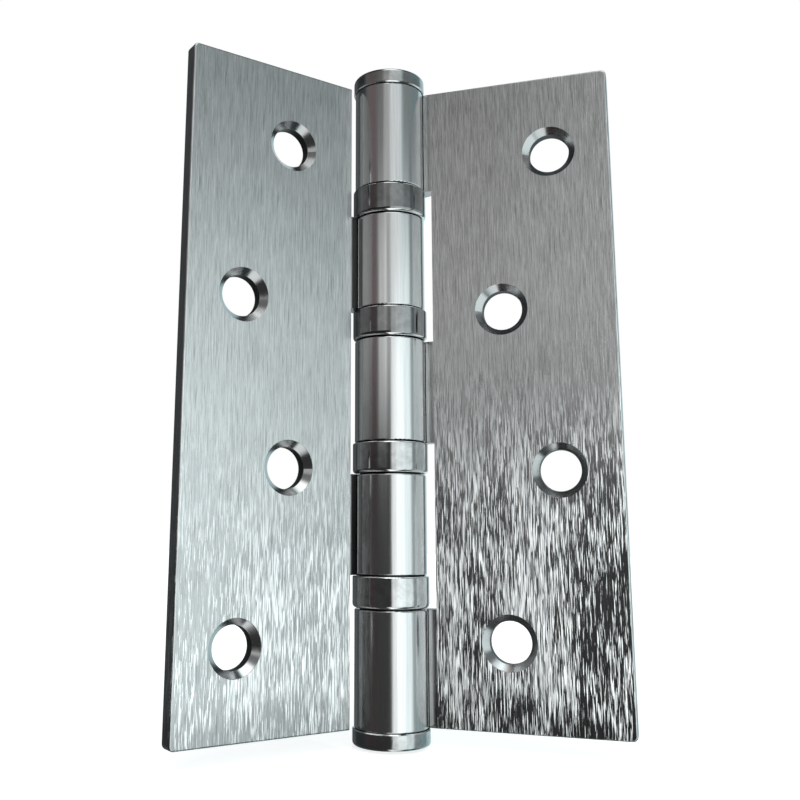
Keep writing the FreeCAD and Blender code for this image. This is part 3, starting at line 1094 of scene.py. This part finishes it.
@dataclass(frozen=True)
class Room:
    """The light: a white sweep behind the hinge and a dim room with a tall window in front.

    Attributes:
        ambient: Brightness of the room between its panels.
        panels: The panels, which add up where they overlap.
        tints: The room's colours, in the order of their bearings.
    """

    ambient: float = 0.055
    panels: Sequence[Panel] = field(
        default=(
            Panel(19.0, 60.0, -40.0, 14.0, 1.25, 8.0, 10.0),
            Panel(34.0, 60.0, -40.0, 14.0, 0.45, 10.0, 10.0),
            Panel(60.0, 85.0, -40.0, 18.0, 1.38, 10.0, 12.0),
            Panel(85.0, 140.0, -40.0, 15.0, 0.42, 10.0, 14.0),
            Panel(4.0, 62.0, -95.0, -42.0, 1.30, 16.0, 12.0),
            Panel(18.0, 60.0, 14.0, 44.0, 0.85, 12.0, 10.0),
            Panel(60.0, 90.0, 18.0, 44.0, 0.22, 12.0, 12.0),
            Panel(90.0, 140.0, 15.0, 44.0, 0.24, 12.0, 14.0),
            Panel(-2.0, 18.0, 8.0, 44.0, 0.44, 12.0, 6.0),
            Panel(-26.0, -2.0, 7.0, 44.0, 0.14, 14.0, 6.0),
            Panel(-22.0, 6.0, 7.0, 19.0, 0.56, 10.0, 9.0),
            Panel(-70.0, -26.0, 8.0, 44.0, 0.10, 14.0, 6.0),
            Panel(-6.0, 70.0, 46.0, 78.0, 2.40, 18.0, 14.0),
            Panel(-200.0, 200.0, 78.0, 100.0, 0.80, 16.0, 14.0),
            Panel(140.0, 200.0, -90.0, 60.0, 0.80, 12.0, 14.0),
            Panel(-200.0, -157.0, -90.0, 60.0, 0.80, 12.0, 14.0),
            Panel(-140.0, -112.0, -60.0, 60.0, 0.07, 12.0, 14.0),
        )
    )
    tints: Sequence[Tint] = field(
        default=(
            Tint(-75.0, (0.90, 1.0, 1.02, 1.0)),
            Tint(-40.0, (1.20, 0.92, 0.92, 1.0)),
            Tint(-24.0, (1.0, 1.0, 1.0, 1.0)),
            Tint(14.0, (0.97, 1.0, 1.0, 1.0)),
            Tint(70.0, (0.89, 1.0, 1.01, 1.0)),
            Tint(92.0, (0.87, 1.0, 1.02, 1.0)),
            Tint(112.0, (0.75, 1.0, 1.05, 1.0)),
        )
    )

    def light(self, scene: bpy.types.Scene) -> None:
        """Sets the world up.

        Args:
            scene: The scene to light.
        """
        world = bpy.data.worlds.new("room")
        world.use_nodes = True
        scene.world = world
        sheet = ShaderSheet(world.node_tree)
        direction = sheet.node("ShaderNodeTexCoord").outputs["Generated"]
        x, y, z = sheet.split(direction)
        bearing = sheet.maths("ARCTAN2", x, -y) * math.degrees(1.0)
        up = sheet.maths("ARCSINE", z) * math.degrees(1.0)
        level: Number = self.ambient
        for panel in self.panels:
            sideways = bearing.between(panel.bearing_from, panel.bearing_to, panel.side_softness)
            upright = up.between(panel.up_from, panel.up_to, panel.edge_softness)
            level = sideways * upright * panel.level + level
        tint: Colour | bpy.types.NodeSocket = self.tints[0].colour
        for before, after in zip(self.tints, self.tints[1:]):
            tint = sheet.blend(bearing.rise(before.bearing, after.bearing), tint, after.colour)
        room = sheet.node("ShaderNodeBackground", None, {"Color": tint, "Strength": level})
        white = sheet.node("ShaderNodeBackground", None, {"Color": grey(1.0), "Strength": 1.0})
        seen = sheet.seen_by_camera(white, room)
        sheet.node("ShaderNodeOutputWorld", None, {"Surface": seen.outputs[0]})
        log.info("room lit by %d panels", len(self.panels))


@dataclass(frozen=True)
class Floor:
    """A pale floor under the bottom cap, which shows white and keeps a faint shadow.

    Attributes:
        size: Length of its sides, in metres.
        clearance: How far it lies below the hinge, in metres.
        whiteness: How much light it gives back.
        glow: How bright it shines by itself to the camera.
    """

    size: float = 3.0
    clearance: float = 0.0004
    whiteness: float = 0.9
    glow: float = 0.75

    def build(self) -> None:
        """Lays the floor and marks it as part of the stage."""
        bpy.ops.object.select_all(action="DESELECT")
        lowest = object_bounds()[0][2] - self.clearance
        bpy.ops.mesh.primitive_plane_add(size=self.size, location=(0.0, 0.0, lowest))
        floor = bpy.context.object
        floor.name = "floor"
        floor.visible_glossy = False
        material, sheet = new_material("pale_floor")
        matt = sheet.node("ShaderNodeBsdfDiffuse", None, {"Color": grey(self.whiteness)})
        shine = {"Color": grey(1.0), "Strength": self.glow}
        glow = sheet.node("ShaderNodeEmission", None, shine)
        lit = sheet.node("ShaderNodeAddShader", None, {0: matt.outputs[0], 1: glow.outputs[0]})
        seen = sheet.seen_by_camera(lit, matt)
        sheet.node("ShaderNodeOutputMaterial", None, {"Surface": seen.outputs[0]})
        floor.data.materials.append(material)
        floor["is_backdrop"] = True
        log.info("floor laid")


@dataclass(frozen=True)
class Viewpoint:
    """The photograph's camera, in millimetres, degrees and pixels of its 800 by 800 frame.

    Attributes:
        place: Where the camera stands.
        heading: Polar angle of the direction that it faces.
        pitch: How far it looks up.
        roll: How far it leans.
        focal: Its focal length in pixels.
        centre: The pixel that it faces.
        frame: Width and height of the photograph, in pixels.
        sensor: Width of the sensor.
        clip: The nearest and the farthest that it sees, in metres.
    """

    place: tuple[float, float, float] = (40.91, -145.08, -22.20)
    heading: float = 108.770
    pitch: float = 10.896
    roll: float = 0.344
    focal: float = 963.4
    centre: tuple[float, float] = (340.0, 350.0)
    frame: float = 800.0
    sensor: float = 36.0
    clip: Span = (0.01, 20.0)

    def build(self, scene: bpy.types.Scene) -> None:
        """Places the camera.

        Args:
            scene: The scene that looks through it.
        """
        heading, pitch, roll = map(math.radians, (self.heading, self.pitch, self.roll))
        onward = Vector((math.cos(heading), math.sin(heading), 0.0))
        ahead = onward * math.cos(pitch) + Vector((0.0, 0.0, math.sin(pitch)))
        level = Vector((math.sin(heading), -math.cos(heading), 0.0))
        rise = level.cross(ahead)
        right = level * math.cos(roll) + rise * math.sin(roll)
        up = rise * math.cos(roll) - level * math.sin(roll)
        data = bpy.data.cameras.new("photograph")
        data.sensor_width = self.sensor
        data.lens = self.focal * self.sensor / self.frame
        data.shift_x = (self.frame / 2 - self.centre[0]) / self.frame
        data.shift_y = (self.centre[1] - self.frame / 2) / self.frame
        data.clip_start, data.clip_end = self.clip
        camera = bpy.data.objects.new("photograph", data)
        scene.collection.objects.link(camera)
        turn = Matrix((right, up, -ahead)).transposed()
        camera.matrix_world = Matrix.Translation(Vector(self.place) * MILLIMETRE) @ turn.to_4x4()
        scene.camera = camera
        log.info("camera placed")


# Painted light and shade: how bright the bearings' covers are, from the top one down, one steel
# made darker or lighter for how the light falls on each
COVER_SHADING_LEVELS = (0.25, 0.25, 0.47, 0.55)


def leaves() -> list[Leaf]:
    """The two leaves as they stand in the photograph."""
    frame_steel = LeafSteel(LeafPlan(Side.FRAME, polar=0.0, flip=1.0))
    door_steel = LeafSteel(
        LeafPlan(Side.DOOR, polar=-128.0, flip=-1.0),
        # The dashes' painted glints, a little dimmer on this leaf.
        dash=0.80,
        dash_lean=0.17,
        coarse_from=-36.0,
        coarse_to=4.0,
        # A deep painted shade in the door leaf's crease.
        crease_painted_shade=0.85,
        grain_contrast=0.5,
    )
    return [Leaf(frame_steel), Leaf(door_steel)]


def bearings() -> list[Bearing]:
    """The four thrust bearings, from the top one down."""
    # The races are near black: painted shade in the gaps beside the covers.
    race = RoundSteel("race_steel", level=0.04, roughness=0.35).make()
    ball = RoundSteel("ball_steel", level=0.70, roughness=0.08, line_height=0.0).make()
    drawn = RoundSteel(
        "cover_steel",
        level=0.0,
        marks=Marks.DRAWN,
        roughness=0.07,
        line_height=0.004,
        patch_height=0.003,
        rim_highlight=0.8,
        end_painted_shade=1.0,
    )
    covers = [
        replace(drawn, name=f"cover_{number}_steel", level=level).make()
        for number, level in enumerate(COVER_SHADING_LEVELS, start=1)
    ]
    return [Bearing(number, cover, race, ball) for number, cover in enumerate(covers, start=1)]


def pin_and_caps() -> PinAndCaps:
    """The pin and the caps."""
    top_cap = RoundSteel(
        "top_cap_steel", level=0.47, roughness=0.12, patch_height=0.008, rim_highlight=0.6
    )
    bottom_cap = RoundSteel(
        "bottom_cap_steel", level=0.46, roughness=0.10, patch_height=0.014, rim_highlight=0.6
    )
    pin = RoundSteel("pin_steel", level=0.55)
    return PinAndCaps(top_cap.make(), bottom_cap.make(), pin.make())


def main() -> None:
    """Builds the scene, sub-assembly by sub-assembly."""
    logging.basicConfig(level=logging.INFO, format="%(message)s")
    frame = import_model()
    scene = bpy.context.scene
    scene.view_settings.view_transform = "Standard"

    for assembly in [*leaves(), *bearings(), pin_and_caps()]:
        assembly.build(frame)

    Room().light(scene)
    Floor().build()
    Viewpoint().build(scene)


if __name__ == "__main__":
    main()
